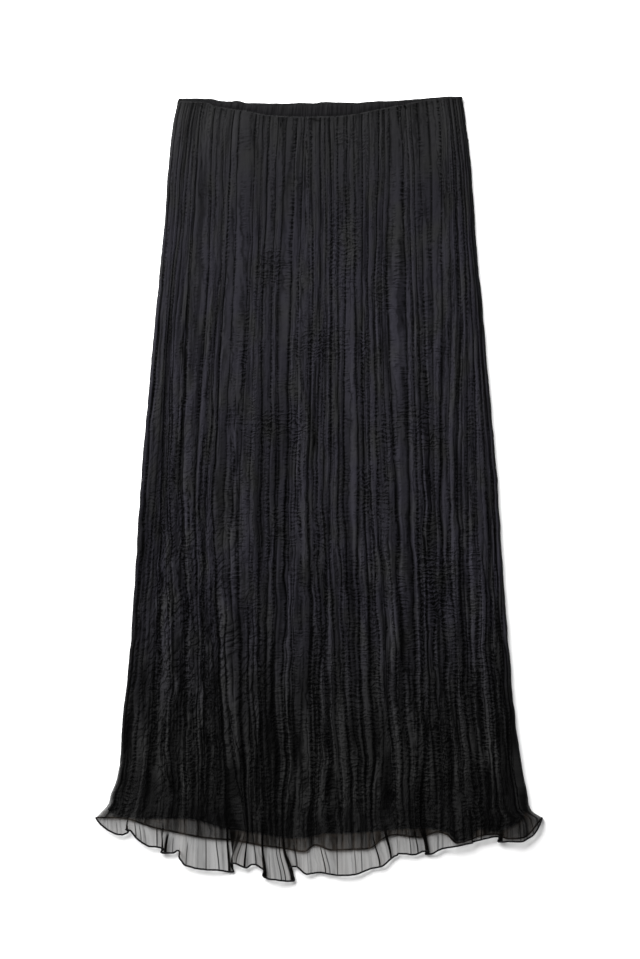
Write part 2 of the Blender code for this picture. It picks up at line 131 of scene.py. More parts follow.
# Waist edges in mm: x, how far down the edge is.
FRONT_WAIST = (
    (-171.5, 6.1), (-139, 6.7), (-124.3, 11), (-102.3, 15.4), (-85.1, 17.4), (-64, 22), (-36, 24.3),
    (3.1, 24.5), (41, 22.1), (70.4, 16.2), (97.4, 11), (119, 6.6), (157.4, 1.4), (176, 0.8),
)
BACK_WAIST = (
    (-171, 2.1), (-144.6, 2.2), (-129.9, 3), (-117.6, 5.3), (-105.4, 5.8), (-100.5, 4.9),
    (-85.1, 7.8), (-61.3, 8.3), (-36.8, 8.5), (-22.1, 7.6), (-3, 7.8), (5, 6.6), (46.6, 7.6),
    (58, 6.5), (90.7, 5.3), (120, 3.2), (149.5, 0.5), (160, 0), (175.8, 0),
)

# Front outer hem in mm: x, how far down, how high its wave lifts it.
FRONT_HEM = (
    (-273.8, 884.5, 0), (-264, 894.6, 3), (-254.7, 900.9, 6), (-240, 904.9, 7), (-232.8, 898.4, 0),
    (-222.3, 909.7, 5), (-209, 918.3, 7), (-195.4, 920.8, 1), (-187.2, 927.3, 5), (-177.1, 927, 5),
    (-173.3, 924.6, 0.5), (-166, 939.6, 4), (-157.2, 944, 6.5), (-141, 947.3, 8), (-122, 948.4, 6),
    (-107.8, 951, 0), (-104, 939.5, 2), (-88.2, 945.3, 7), (-82, 941.5, 4), (-70.7, 945.9, 0.5),
    (-63.1, 958.6, 5), (-50.8, 959.9, 8), (-36.1, 961.9, 0), (-28.2, 944, 4), (-14.5, 953.1, 7),
    (1.8, 951.6, 2), (23, 954.6, 5.5), (41.9, 954, 7.5), (64.3, 946.6, 2.5), (79, 942.8, 6.5),
    (90.8, 932.9, 4), (100.7, 928, 0.5), (117.5, 929.4, 7), (128.7, 925.2, 4), (136.6, 929, 0),
    (147, 923.8, 5), (169.7, 918.1, 7), (188, 913.9, 1), (203, 909.6, 6), (218.7, 906.9, 1),
    (223, 913.6, 0), (233, 912.8, 5.5), (247, 912.8, 8), (257, 908.9, 6), (265.5, 901.8, 3),
    (273.8, 884.5, 0),
)
HEM_LIFT = 2

# Hems under it in mm: x, how far down the back panel, back lining and front lining reach.
INNER_HEMS = (
    (-273.8, 884.5, 872, 870), (-251, 884.3, 880.5, 879), (-232, 886.5, 883, 882),
    (-205, 895.5, 884.5, 883), (-175, 902.1, 884.5, 883), (-149, 907.5, 886.5, 885.3),
    (-129, 910, 893, 892), (-106, 911.9, 898.5, 897.2), (-68, 918.6, 902.8, 901.5),
    (-41, 922, 907.5, 906.5), (-18, 926, 908, 907), (-4, 917.8, 906, 904), (16, 924, 902, 900.9),
    (42, 923.3, 902, 900.9), (64, 921.5, 900.5, 899.6), (76, 912, 899.5, 898.4),
    (92, 905.5, 898, 897), (124, 908.3, 896, 895), (147, 901.8, 898, 896.5),
    (157, 904.8, 900.5, 898), (170, 915.5, 912.5, 898), (186, 911.5, 908.5, 895),
    (196, 907.5, 897, 893.5), (219, 904.6, 900, 898), (232, 910.4, 896, 894.5),
    (252, 908.6, 884.5, 883), (273.8, 884.5, 872, 870),
)
BACK_HEM = 1
BACK_LINING_HEM = 2
FRONT_LINING_HEM = 3

# Main crease valleys of the front: percent across at five places from top to bottom, then
# how deep at the top, halfway and at the bottom. part.py has most of them, not so deep.
CREASES = (
    (1.1, 1.3, 1.6, 1.4, 2, 0.5, 0.7, 0.4), (3, 3.4, 4.4, 3.6, 6, 0.5, 0.4, 0.5),
    (5, 4.4, 5.9, 7.8, 11, 0.4, 0.5, 0.8), (6.8, 6.4, 8.2, 11.3, 16.4, 0.5, 0.6, 0.9),
    (9.3, 10, 11.8, 15.3, 20, 0.6, 0.7, 0.7), (13.7, 15.5, 15.4, 18.2, 23, 0.9, 0.9, 0.6),
    (20.5, 20.5, 20.5, 23.6, 30, 0.8, 0.9, 1.2), (22.6, 23.4, 23.6, 25.4, 31.7, 0.6, 0.6, 0.5),
    (28.3, 28.6, 27.5, 29.2, 34.2, 0.9, 0.8, 1.1), (30.7, 30.6, 30.7, 31.2, 36, 0.5, 0.5, 0.6),
    (33, 32.8, 34, 34.2, 38.6, 1, 1, 1.2), (35.9, 35.4, 36.2, 35.9, 40.2, 0.6, 0.8, 0.5),
    (38.9, 37.4, 38.7, 38.1, 42, 0.8, 0.6, 1.1), (42.2, 41.2, 41.1, 40.6, 43.5, 0.8, 1, 0.6),
    (45, 43.7, 43.6, 43.2, 45.3, 0.7, 0.5, 0.5), (47.2, 47.8, 46.9, 48, 48.4, 0.9, 1, 1.2),
    (50.1, 50.3, 49.4, 50.1, 50.5, 0.6, 0.7, 0.5), (51.7, 51.9, 51.4, 52.1, 53.2, 0.5, 0.7, 0.9),
    (53.3, 53.8, 53, 54, 55.3, 0.8, 0.7, 0.6), (55.9, 55.9, 55.4, 56.3, 57.9, 0.7, 0.8, 0.9),
    (59.4, 58.3, 57.1, 58.2, 59.6, 0.7, 0.8, 0.5), (61.5, 61.2, 60.8, 60.5, 61.4, 0.8, 0.8, 0.6),
    (64.6, 63.3, 62.7, 63.4, 63.3, 0.8, 0.9, 1.2), (66.8, 65.2, 64.6, 65.7, 65.8, 0.6, 0.6, 0.5),
    (70.6, 67.1, 66.6, 67.6, 67.6, 1, 0.6, 0.6), (72.2, 69.3, 69.1, 69.9, 69.7, 0.5, 0.7, 0.7),
    (73.8, 71.1, 71.3, 71.8, 71.4, 0.8, 1, 1.2), (77.8, 76.7, 75.4, 75.2, 73.2, 0.9, 0.9, 0.7),
    (79.6, 78.6, 77.6, 77.1, 74.7, 0.5, 0.7, 1.2), (81.4, 80.4, 79.2, 78.8, 76.3, 0.7, 0.8, 0.5),
    (83.6, 82.3, 80.9, 80.4, 77.9, 0.5, 0.7, 0.5), (87.2, 84.8, 82.5, 81.7, 79.3, 0.6, 0.5, 0.5),
    (91, 87.9, 84.1, 83, 80.8, 0.7, 1, 0.6), (93.4, 90.6, 86.4, 85.6, 83, 0.5, 0.6, 0.4),
    (95.4, 93.6, 89, 88.2, 85.6, 0.8, 1, 1.2), (96.6, 95.4, 91.7, 90, 87.1, 0.8, 1, 0.9),
    (97.6, 96.9, 94.4, 92.7, 89, 0.6, 0.7, 0.7), (98.4, 98.1, 96.8, 95.6, 92.2, 0.6, 0.7, 0.8),
    (99.2, 99.1, 98.7, 98.3, 96.4, 0.5, 0.8, 0.8),
)
CREASE_STATIONS = (0.0, 0.25, 0.5, 0.75, 1.0)
DEPTH_STATIONS = (0.0, 0.5, 1.0)

# Creases that split the widest pleats low down: where, counted in lines from the left side
# seam, where they start on the way down from 0 to 1, and how deep they are.
SPLITS = (
    (1.5, 0.5, 0.5), (3.5, 0.55, 0.5), (5.5, 0.45, 0.6), (6.35, 0.4, 0.7), (6.75, 0.62, 0.6),
    (8.45, 0.35, 0.8), (10.5, 0.6, 0.5), (16.5, 0.7, 0.6), (36.5, 0.66, 0.6), (37.5, 0.55, 0.7),
    (38.5, 0.5, 0.8), (39.4, 0.6, 0.7),
)

# Folds where the front hem doubles back on itself, in mm: x, half the fold's width, how far
# it doubles back, how far up it reaches, and the side on top: 1 for right, -1 for left.
HEM_FOLDS = (
    (-234.5, 4, 3.2, 30, 1), (-191.5, 5, 3.6, 45, -1), (-170.5, 3, 1.6, 25, 1),
    (-106, 3.6, 3.4, 60, 1), (-67.5, 3.6, 2.2, 40, -1), (-32.5, 5.5, 5.4, 70, -1),
    (97, 4, 1.6, 30, 1), (133, 5.5, 4.6, 45, 1), (188.5, 3, 1.4, 30, -1), (221, 3, 2.4, 30, 1),
)

# Lines where the front hem is gathered, in mm: x at the line's top and at the hem, half the
# width of its dark core, how far up it reaches, and how dark it is, up to 1: denser cloth
# and painted shade in the fold.
GATHERS = (
    (-258, -257.9, 0.2, 14, 0.45), (-248, -246.6, 0.3, 14, 0.6), (-232, -234, 1.9, 17, 1),
    (-226.6, -223.6, 0.4, 18, 0.9), (-221.1, -217.4, 0.3, 20, 0.75), (-216.2, -211.3, 0.2, 20, 0.6),
    (-197.8, -197.8, 0.4, 24, 0.95), (-194.2, -194.2, 0.4, 24, 0.85), (-190.5, -190.8, 0.7, 32, 1),
    (-181.9, -186.8, 0.5, 24, 1), (-176.4, -179, 0.3, 18, 0.75), (-159.9, -162.3, 0.3, 26, 0.85),
    (-148, -149, 0.2, 26, 0.4), (-137.8, -137.8, 0.4, 38, 0.9), (-125.6, -121.9, 0.4, 38, 0.9),
    (-111.8, -110, 0.6, 74, 1), (-107.2, -106.3, 0.6, 60, 1), (-94, -104.2, 0.5, 36, 0.9),
    (-90.4, -101, 0.4, 34, 0.8), (-87.6, -90.6, 1.1, 70, 1), (-80.3, -76.6, 0.5, 36, 0.95),
    (-69.2, -64.3, 0.8, 64, 1), (-60.6, -59.4, 0.2, 30, 0.5), (-52, -45.5, 0.4, 50, 0.9),
    (-47.8, -40.4, 0.4, 60, 0.95), (-43.8, -36, 0.8, 76, 1), (-39.6, -31.8, 0.5, 64, 0.95),
    (-31.2, -26.3, 0.5, 26, 0.9), (-14, -12.5, 0.2, 28, 0.45), (1.8, 8.6, 0.5, 32, 0.95),
    (6.1, 14.1, 0.3, 30, 0.75), (22.7, 23.3, 0.3, 50, 0.8), (43.5, 45.9, 0.3, 30, 0.7),
    (52.1, 53.3, 0.3, 26, 0.8), (66.8, 75.3, 0.6, 38, 1), (80.9, 88.8, 0.8, 40, 1),
    (96.2, 96.2, 0.3, 20, 0.7), (109.6, 113.3, 0.4, 30, 0.8), (115.8, 121.9, 0.5, 40, 0.95),
    (121, 129.8, 0.8, 88, 1), (124.6, 133.4, 1.2, 96, 1), (128.6, 136.6, 0.8, 70, 1),
    (146.4, 146.4, 0.3, 20, 0.8), (151.3, 152.5, 0.2, 20, 0.6), (185.6, 188, 1.5, 44, 1),
    (199.1, 199.1, 0.5, 50, 1), (226, 223.6, 1.7, 60, 1), (235, 237.5, 0.2, 70, 0.55),
    (244.5, 247.2, 0.3, 80, 0.7), (248.5, 251.6, 0.2, 50, 0.6), (251.7, 255.4, 0.3, 70, 0.8),
    (257.3, 262.8, 0.3, 60, 0.8), (261.5, 268.3, 0.3, 44, 0.75),
)
GATHER_FADE = 0.75

# Painted shadows of the pinches below the front waist, in mm: x and how far down at both
# ends, half the width of the dark core, and how dark it is.
PINCH_SHADOWS = (
    (-42.9, 27, -47.2, 38.5, 0.5, 1), (-25.7, 28.2, -28.2, 60, 0.4, 0.95),
    (-9.5, 27.8, 1.8, 31.5, 0.7, 0.7), (-119.5, 15.5, -114.5, 18.8, 0.4, 0.7),
    (-76.5, 24, -77, 33, 0.4, 0.6), (95, 11.5, 97, 16, 0.9, 0.8), (100.5, 12, 101.5, 15, 0.6, 0.85),
    (104, 11, 107.5, 16, 1, 1),
)

# How bright the front's cloth is, by how far down it is in mm.
BRIGHTNESS = (
    (0, 0.56), (60, 0.52), (110, 0.5), (200, 0.61), (320, 0.7), (385, 0.7), (450, 0.72),
    (507, 0.74), (568, 0.84), (630, 0.9), (690, 0.76), (752, 0.68), (813, 0.64), (875, 0.74),
    (965, 0.74),
)

# Where fine ripples run across the crinkles: middle and half width in percent across,
# middle and half length in mm down, and how strong they are.
RIPPLES = (
    (60, 6, 66, 30, 0.7), (40, 9, 106, 14, 0.6), (35, 6, 213, 30, 0.9), (58, 7, 190, 85, 0.8),
    (72, 9, 232, 50, 0.7), (92, 5, 220, 60, 0.6), (14, 9, 196, 14, 0.5), (50, 50, 222, 28, 0.45),
    (54, 14, 303, 26, 0.85), (76, 8, 290, 20, 0.6), (40, 12, 403, 20, 0.8), (75, 14, 406, 34, 0.8),
    (96, 5, 400, 70, 0.6), (64, 10, 600, 55, 0.7), (83, 14, 600, 60, 0.85), (91, 9, 730, 80, 0.8),
    (52, 12, 780, 30, 0.7), (70, 8, 740, 40, 0.6), (97, 5, 800, 90, 0.8), (50, 60, 102, 14, 0.5),
    (55, 50, 316, 18, 0.6), (50, 60, 403, 18, 0.55), (50, 60, 513, 12, 0.6), (55, 50, 640, 24, 0.5),
    (50, 50, 801, 14, 0.5), (15, 12, 868, 24, 0.6), (46, 22, 878, 34, 0.85), (80, 18, 860, 34, 0.6),
)

# Where crumples lean across the crinkles, in the same way.
LEANING = (
    (15, 15, 690, 190, 0.8), (8, 8, 480, 120, 0.4), (31, 9, 740, 120, 0.7), (75, 9, 775, 45, 0.6),
    (50, 60, 870, 50, 0.5),
)

# Where the cloth is a little lighter or darker, in the same way.
LIGHTER = (
    (22.5, 4, 745, 90, 0.35), (7, 9, 860, 50, 0.35), (71, 8, 835, 45, 0.25),
    (70, 5, 680, 150, 0.22), (93, 2.5, 830, 60, 0.35), (7, 4, 690, 80, 0.2),
)
DARKER = (
    (98, 2.5, 830, 110, 0.3), (28.5, 2.5, 745, 80, 0.12), (32, 9, 340, 320, 0.17),
    (61, 4, 815, 50, 0.2),
)


# Curves and noise.

def read_curve(table, column, at):
    """Read a smooth curve through a column of a table, at values of its first column.

    The curve turns only at the table's own points, so it doesn't overshoot them.
    """
    rows = np.array(table)
    knots = rows[:, 0]
    values = rows[:, column]
    steps = np.diff(values) / np.diff(knots)
    slopes = np.gradient(values, knots)
    steepest = 3 * np.minimum(np.abs(steps[:-1]), np.abs(steps[1:]))
    turns = steps[:-1] * steps[1:] <= 0
    slopes[1:-1] = np.where(turns, 0.0, np.clip(slopes[1:-1], -steepest, steepest))
    at = np.clip(at, knots[0], knots[-1])
    after = np.clip(np.searchsorted(knots, at, side="right"), 1, len(knots) - 1)
    before = after - 1
    span = knots[after] - knots[before]
    t = (at - knots[before]) / span
    first = values[before] * (1 + 2 * t) + span * slopes[before] * t
    last = values[after] * (3 - 2 * t) - span * slopes[after] * (1 - t)
    return first * (1 - t) ** 2 + last * t ** 2


def ease(value, start, end):
    """Rise smoothly from 0 to 1 as a value goes from start to end."""
    t = np.clip((value - start) / (end - start), 0.0, 1.0)
    return t * t * (3 - 2 * t)


def straight_x(down, side):
    """Give x of a side seam, without its flare."""
    return read_curve(STRAIGHT_SIDES, side, down / MM) * MM


def width_at(down):
    """Give the width between the side seams, without their flare."""
    return straight_x(down, RIGHT) - straight_x(down, LEFT)


def side_distance(across, down):
    """Give how far a point lies from the nearer side seam."""
    return np.minimum(across, 1 - across) * width_at(down)


def x_at(across, down):
    """Give x of a point on a panel."""
    left = straight_x(down, LEFT)
    right = straight_x(down, RIGHT)
    width = right - left
    flare_left = read_curve(SIDES, LEFT, down / MM) * MM - left
    flare_right = read_curve(SIDES, RIGHT, down / MM) * MM - right
    x = left + across * width + flare_left * np.exp(-across * width / FLARE_REACH)
    return x + flare_right * np.exp(-(1 - across) * width / FLARE_REACH)


def waist_down(table, across):
    """Give how far down a waist edge is."""
    return read_curve(table, 1, x_at(across, 0.0) / MM) * MM


def hem_value(table, column, x):
    """Give how far down a hem is at x, or how high its wave is."""
    return read_curve(table, column, x / MM) * MM


hem_shares = np.linspace(0.0, 1.0, 400)
hem_share_x = x_at(hem_shares, HEM_CORNER)


def hem_across_at(x):
    """Give how far across a place at the hem is."""
    return np.interp(x, hem_share_x, hem_shares)


def crease_progress(down):
    """Give the part of the way down the creases, from 0 to 1."""
    return np.clip((down - CREASES_START) / (CREASES_END - CREASES_START), 0.0, 1.0)


def scatter(i, j, seed):
    """Give a repeatable number from -1 to 1 for each cell of a grid."""
    mixed = np.sin(i * 127.1 + j * 311.7 + seed * 74.7) * 43758.5453
    return 2 * (mixed - np.floor(mixed)) - 1


def noise(x, y, seed):
    """Give smooth noise from -1 to 1 with cells of one unit."""
    i = np.floor(x)
    j = np.floor(y)
    u = x - i
    v = y - j
    u = u * u * (3 - 2 * u)
    v = v * v * (3 - 2 * v)
    near = scatter(i, j, seed) * (1 - u) + scatter(i + 1, j, seed) * u
    far = scatter(i, j + 1, seed) * (1 - u) + scatter(i + 1, j + 1, seed) * u
    return near * (1 - v) + far * v


# Crease lines, each worked out at even steps down the skirt.

STEPS = 500
step_progress = np.linspace(0.0, 1.0, STEPS)
step_down = CREASES_START + step_progress * (CREASES_END - CREASES_START)
step_width = width_at(step_down)


def main_lines():
    """Give how far across the side seams and the main creases are, in rows by steps."""
    lines = [np.zeros(STEPS)]
    for number, row in enumerate(CREASES):
        places = np.array(row[:len(CREASE_STATIONS)]) * PERCENT
        places[-1] = hem_across_at((2 * places[-1] - 1) * HALF_HEM_WIDTH)
        line = read_curve(list(zip(CREASE_STATIONS, places)), 1, step_progress)
        wander = 1.1 * noise(step_down / 0.045, number * 3.7, SEED)
        wander += 0.6 * noise(step_down / 0.014, number * 3.7, SEED + 1)
        wander *= 0.8 + 1.0 * ease(step_down, 0.3, 0.6)
        lines.append(line + wander * MM / step_width)
    lines.append(np.ones(STEPS))
    return np.array(lines)


LINES = main_lines()
LAST_LINE = len(LINES) - 1


def between_lines(course):
    """Give how far across a course is that is counted in lines, step by step."""
    line = np.floor(course).astype(int)
    share = course - line
    steps = np.arange(STEPS)
    return LINES[line, steps] * (1 - share) + LINES[line + 1, steps] * share


# A crease is how far across it is, how deep, and how wide on its left and on its right.

def main_creases():
    """List the main creases, sharp on one side and soft on the other."""
    creases = []
    for number, row in enumerate(CREASES):
        depth = np.interp(step_progress, DEPTH_STATIONS, row[len(CREASE_STATIONS):])
        depth = depth * (1 + 0.32 * noise(step_down / 0.035, number * 5.3, SEED + 2))
        sharp = 0.85 + 0.4 * row[-2]
        soft = sharp * (1.55 + 0.5 * scatter(number, 1, SEED))
        left, right = (sharp, soft) if scatter(number, 2, SEED) > -0.1 else (soft, sharp)
        creases.append((LINES[number + 1], depth, left * MM, right * MM))
    return creases


def splitting_creases():
    """List the creases that split wide pleats."""
    creases = []
    for number, (place, start, depth) in enumerate(SPLITS):
        course = place + 0.2 * noise(step_down / 0.03, number * 3.1, SEED + 30)
        shown = ease(step_progress, start, start + 0.08)
        creases.append((between_lines(course), depth * shown, 0.9 * MM, 1.2 * MM))
    return creases


def small_creases(count, seed):
    """List small creases that start and end somewhere along the skirt."""
    random = np.random.default_rng(seed)
    creases = []
    for number in range(count):
        place = np.interp(random.uniform(0.01, 0.99), LINES[:, -1], np.arange(len(LINES)))
        drift = random.uniform(-0.25, 0.25)
        sway = 0.12 * noise(step_down / 0.05, number * 1.9, seed)
        sway += 0.06 * noise(step_down / 0.016, number * 2.9, seed)
        course = np.clip(place + drift * (step_progress - 0.5) + sway, 0.05, LAST_LINE - 0.05)
        length = random.uniform(0.12, 0.9) ** 1.2
        start = random.uniform(-0.15, 1.02 - 0.5 * length)
        shown = ease(step_progress, start, start + 0.05)
        shown = shown * (1 - ease(step_progress, start + length - 0.06, start + length))
        depth = random.uniform(0.2, 0.62) * shown
        lively = 1 + 0.3 * noise(step_down / 0.024, number * 2.3, seed + 1)
        sharp = random.uniform(0.65, 1.05) * MM
        soft = sharp * random.uniform(1.1, 1.9)
        left, right = (soft, sharp) if random.uniform() < 0.5 else (sharp, soft)
        creases.append((between_lines(course), depth * lively, left, right))
    return creases


# Layout of a panel's points.

def spread_columns(count, folds=(), gathers=()):
    """Give places across at the hem, closer near the creases, folds and gathered lines."""
    hem = LINES[:, -1]
    reach = np.diff(hem) + np.diff(LINES[:, STEPS // 2])
    per_fold = 9
    count -= per_fold * len(folds)
    shares = np.maximum(3, np.floor(count * reach / reach.sum()).astype(int))
    places = []
    for line, number in enumerate(shares):
        t = np.arange(number) / number
        places.extend(line + t - 0.35 * np.sin(TURN * t) / TURN)
    places.append(LAST_LINE)
    across = [np.interp(places, np.arange(len(hem)), hem)]
    for x, half, *_ in folds:
        half = half * MM / width_at(HEM_CORNER)
        across.append(hem_across_at(x * MM) + half * np.linspace(-1.05, 1.05, per_fold))
    for _, x, core, *_ in gathers:
        around = np.array([-core - GATHER_FADE, -core, core, core + GATHER_FADE])
        across.append(hem_across_at((x + around) * MM))
    return np.unique(np.concatenate(across))


def spread_rows(start, end, plan):
    """Give how far down a sheet's rows are, in rows by columns."""
    first_rows, middle_rows, last_rows, first_length, last_length = plan
    first = start + first_length * np.linspace(0, 1, first_rows + 1)[:, None]
    last = end - last_length * np.linspace(1, 0, last_rows + 1)[:, None]
    share = np.linspace(0, 1, middle_rows + 1)[1:-1, None]
    middle = first[-1] * (1 - share) + last[0] * share
    return np.vstack([first, middle, last])


def place_columns(hem_across, down):
    """Let columns follow the crease lines: give how far across each point is."""
    place = np.interp(hem_across, LINES[:, -1], np.arange(len(LINES)))
    line = np.clip(np.floor(place).astype(int), 0, LAST_LINE - 1)
    share = place - line
    step = crease_progress(down) * (STEPS - 1)
    before = np.clip(np.floor(step).astype(int), 0, STEPS - 2)
    t = step - before
    at_left = LINES[line, before] * (1 - t) + LINES[line, before + 1] * t
    at_right = LINES[line + 1, before] * (1 - t) + LINES[line + 1, before + 1] * t
    return at_left * (1 - share) + at_right * share, place


def panel_start(hem_across, waist, below):
    """Give how far down a panel's columns start, a little below a waist edge."""
    top_across = place_columns(hem_across, np.zeros((1, hem_across.size)))[0][0]
    return waist_down(waist, top_across) + below


def crease_relief(creases, across, down):
    """Sum the creases' troughs: how deep, and how much thin line and band of painted shade."""
    progress = crease_progress(down)
    width = width_at(down)
    sunk = np.zeros_like(down)
    line = np.zeros_like(down)
    band = np.zeros_like(down)
    for centres, depths, left, right in creases:
        depth = np.interp(progress, step_progress, depths)
        away = (across - np.interp(progress, step_progress, centres)) * width
        reach = np.where(away < 0, left, right) * (0.85 + 0.35 * progress)
        core = np.exp(-(away / reach) ** 2)
        wide = np.exp(-(away / (2.6 * reach)) ** 2)
        sunk += depth * (0.85 * core + 0.15 * wide)
        line = np.maximum(line, depth * np.exp(-(away / (0.62 * reach)) ** 2))
        band += depth * (0.7 * core + 0.3 * wide)
    return sunk, ease(line, 0.12, 0.6 - 0.16 * ease(progress, 0.65, 0.85)), band


def panel_slant(place, down, seed):
    """Give each pleat between two main creases its own height at its left and right."""
    knots = np.arange(LAST_LINE)
    at = np.stack([knots + 0.16, knots + 0.84], axis=1).ravel()
    height = np.stack([scatter(knots, 0, seed), scatter(knots, 1, seed)], axis=1).ravel()
    slant = np.interp(place, at, height)
    return slant * (0.7 + 0.5 * noise(place * 0.4, down / 0.16, seed + 1))


def hem_coordinates(hem_across, down):
    """Give the cloth's own coordinates in mm: across as at the hem, and down."""
    cloth_x = (hem_across - 0.5) * 2 * HALF_HEM_WIDTH / MM + np.zeros_like(down)
    return cloth_x, down / MM


def zones(table, across, down):
    """Give how strong something is, by a table of zones."""
    total = np.zeros_like(down)
    for middle, half_width, at, half_length, strength in table:
        far = ((across / PERCENT - middle) / half_width) ** 2
        far = far + ((down / MM - at) / half_length) ** 2
        total = np.maximum(total, strength * np.exp(-far ** 2 * 0.7))
    return total


def ripple_strength(hem_across, across, down):
    """Give how strong the ripples are, uneven and a little everywhere."""
    cloth_x, cloth_y = hem_coordinates(hem_across, down)
    patchy = 0.5 + 0.5 * noise(cloth_x / 9, cloth_y / 60, SEED + 20)
    everywhere = 0.43 + 0.06 * ease(down, 0.2, 0.5) + 0.12 * ease(down, 0.74, 0.84)
    everywhere = everywhere + 0.14 * ease(down, 0.58, 0.72) * ease(across, 0.3, 0.5)
    strength = np.maximum(zones(RIPPLES, across, down), everywhere)
    strength = strength * ease(side_distance(across, down), 0.001, 0.007)
    return np.clip(strength * (0.55 + 0.75 * patchy), 0.0, 1.0)


def gathered(hem_x, to_hem):
    """Give how dark the gathered lines are, partly painted shade, and how far they move the cloth
    sideways.
    """
    dark = np.zeros_like(to_hem)
    for _, x, core, reach, depth in GATHERS:
        beside = ease(np.abs(hem_x / MM - x), core, core + GATHER_FADE)
        above = ease(to_hem, 0.85 * reach * MM, 1.25 * reach * MM)
        dark = np.maximum(dark, depth * (1 - beside) * (1 - above))
    at_hem = [gather[1] for gather in GATHERS]
    moves = [gather[0] - gather[1] for gather in GATHERS]
    move = np.interp(hem_x / MM, at_hem, moves, left=0.0, right=0.0) * MM
    return dark, move * ease(to_hem, 0.0, 0.04) * ease(to_hem, 0.15, 0.055)


def pinch_shadows(x, down):
    """Give how dark the painted shadows of the pinches below the waist are."""
    dark = np.zeros_like(down)
    for first_x, first_down, last_x, last_down, core, depth in PINCH_SHADOWS:
        run = np.array([last_x - first_x, last_down - first_down])
        away = np.stack([x / MM - first_x, down / MM - first_down], axis=-1)
        t = np.clip(away @ run / (run @ run), 0.0, 1.0)
        distance = np.linalg.norm(away - t[..., None] * run, axis=-1)
        width = core * (0.5 + 1.5 * t * (1 - t) * 2)
        dark = np.maximum(dark, depth * (1 - ease(distance, width, width + 0.7)))
    return dark


def seam_strength(from_side, to_hem):
    """Give where the side seam lies double, apart from a thin rim and the hem's corner."""
    inside = ease(from_side, 0.0006, 0.002) * (1 - ease(from_side, 0.0085, 0.012))
    return 0.92 * inside * ease(to_hem, 0.012, 0.04)


def side_wobble(across, down):
    """Give a small uneven move of the side seams, which fades inward."""
    move = 0.0
    for seed, inward in ((SEED + 13, across), (SEED + 15, 1 - across)):
        uneven = 0.6 * noise(down / 0.018, 0, seed) + 0.3 * noise(down / 0.007, 0, seed + 1)
        move = move + np.exp(-inward * width_at(down) / 0.01) * uneven
    return move * MM


def to_points(across, down, height):
    """Turn across, down and height into points."""
    x = x_at(across, down)
    return np.stack([x, TOP_OF_SIDES_Y - down, height], axis=-1)


# Meshes.

def add_mesh(name, points, faces, material, attributes=()):
    """Add a smooth mesh, with named values for its shader."""
    mesh = bpy.data.meshes.new(name)
    mesh.from_pydata(points.reshape(-1, 3).tolist(), [], faces)
    for key, values in dict(attributes).items():
        kind, field = ("FLOAT_VECTOR", "vector") if key == "cloth" else ("FLOAT", "value")
        made = mesh.attributes.new(key, kind, "POINT")
        made.data.foreach_set(field, values.reshape(-1).astype(np.float32))
    mesh.materials.append(material)
    mesh.shade_smooth()
    mesh.update()
    piece = bpy.data.objects.new(name, mesh)
    bpy.context.scene.collection.objects.link(piece)
    return piece


def grid_faces(points, last_column=None):
    """List the faces of a grid of points. Without a last column, its rows are closed rings."""
    index = np.arange(points[..., 0].size).reshape(points.shape[:2])
    beside = np.roll(index, -1, axis=1)
    corners = np.stack([index[:-1], index[1:], beside[1:], beside[:-1]], axis=-1)
    return corners[:, :last_column].reshape(-1, 4).tolist()


def add_sheet(name, points, material, attributes):
    """Add a sheet from a grid of points."""
    return add_mesh(name, points, grid_faces(points, -1), material, attributes)


# Materials.

class Value:
    """A value in a shader, which sums are written with as with a number."""

    def __init__(self, socket):
        self.socket = socket
        self.tree = socket.id_data

    def work_out(self, operation, *others):
        """Put the value and others through a Math node."""
        inputs = dict(enumerate((self, *others)))
        return add_node(self.tree, "ShaderNodeMath", inputs, operation=operation)

    def scale(self, factor, more):
        """Multiply the value and add more."""
        return self.work_out("MULTIPLY_ADD", factor, more)

    def __mul__(self, other):
        return self.work_out("MULTIPLY", other)

    def __add__(self, other):
        return self.work_out("ADD", other)

    def __sub__(self, other):
        return self.work_out("SUBTRACT", other)

    def feed(self, shader, name):
        """Link the value to a shader's input."""
        self.tree.links.new(self.socket, shader.inputs[name])


def add_node(tree, kind, inputs, output=0, **settings):
    """Add a shader node, with inputs by name or number, and give one of its outputs."""
    node = tree.nodes.new(kind)
    for key, value in settings.items():
        setattr(node, key, value)
    for key, value in inputs.items():
        if isinstance(value, Value):
            tree.links.new(value.socket, node.inputs[key])
        else:
            node.inputs[key].default_value = value
    return Value(node.outputs[output])


def read_value(shader, name, output="Fac"):
    """Read one of the mesh's named values."""
    return add_node(shader.id_data, "ShaderNodeAttribute", {}, output, attribute_name=name)


def stretched_noise(vector, across, down, detail=1.0, roughness=0.5):
    """Add noise with cells of a size in mm across and down."""
    size = (1 / across, 1 / down, 1.0)
    scaled = add_node(vector.tree, "ShaderNodeVectorMath", {0: vector, 1: size},
                      operation="MULTIPLY")
    return add_node(vector.tree, "ShaderNodeTexNoise", {
        "Vector": scaled, "Scale": 1.0, "Detail": detail, "Roughness": roughness}, "Fac")


def rise(value, start, end):
    """Rise smoothly from 0 to 1 as a value goes from start to end."""
    return add_node(value.tree, "ShaderNodeMapRange", {0: value, 1: start, 2: end},
                    interpolation_type="SMOOTHSTEP")


def swing(steps):
    """Swing between -1 and 1, once for each step."""
    return (steps * TURN).work_out("SINE")


def mix_colors(share, first, last):
    """Go from a first colour to a last one."""
    return add_node(share.tree, "ShaderNodeMix", {0: share, 6: first, 7: last}, 2,
                    data_type="RGBA")


def add_relief(shader, height, strength=1.0, distance=MM):
    """Bump a shader by a height, in mm if the distance isn't given."""
    inputs = {"Strength": strength, "Distance": distance, "Height": height}
    add_node(height.tree, "ShaderNodeBump", inputs).feed(shader, "Normal")


LOOKS = ("Roughness", "Sheen Weight", "Sheen Roughness", "Sheen Tint", "Specular IOR Level")


